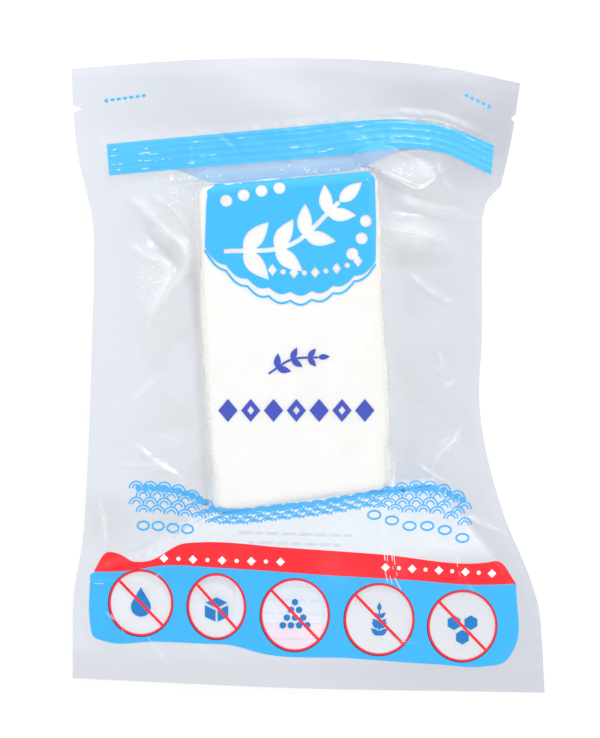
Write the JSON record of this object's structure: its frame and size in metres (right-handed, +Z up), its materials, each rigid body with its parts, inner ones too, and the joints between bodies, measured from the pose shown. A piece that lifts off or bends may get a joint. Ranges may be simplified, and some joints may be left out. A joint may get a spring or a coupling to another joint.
{
  "type": "vacuum-packed halloumi",
  "caption": "Block of halloumi cheese sealed under vacuum in a flat clear zip pouch, with film folds at its corners and tear notches above the zip.",
  "frame": {"origin": "under the middle of the pouch's outline, on the surface that it lies on", "axes": "+Z up out of the pouch's front, +Y along the pouch towards the zip, +X across it to the right as seen from the front"},
  "size_m": [0.2044, 0.274, 0.028],
  "materials": {
    "film": "gloss"
  },
  "bodies": {
    "root": {"sealed_pouch": "film"}
  },
  "joints": []
}
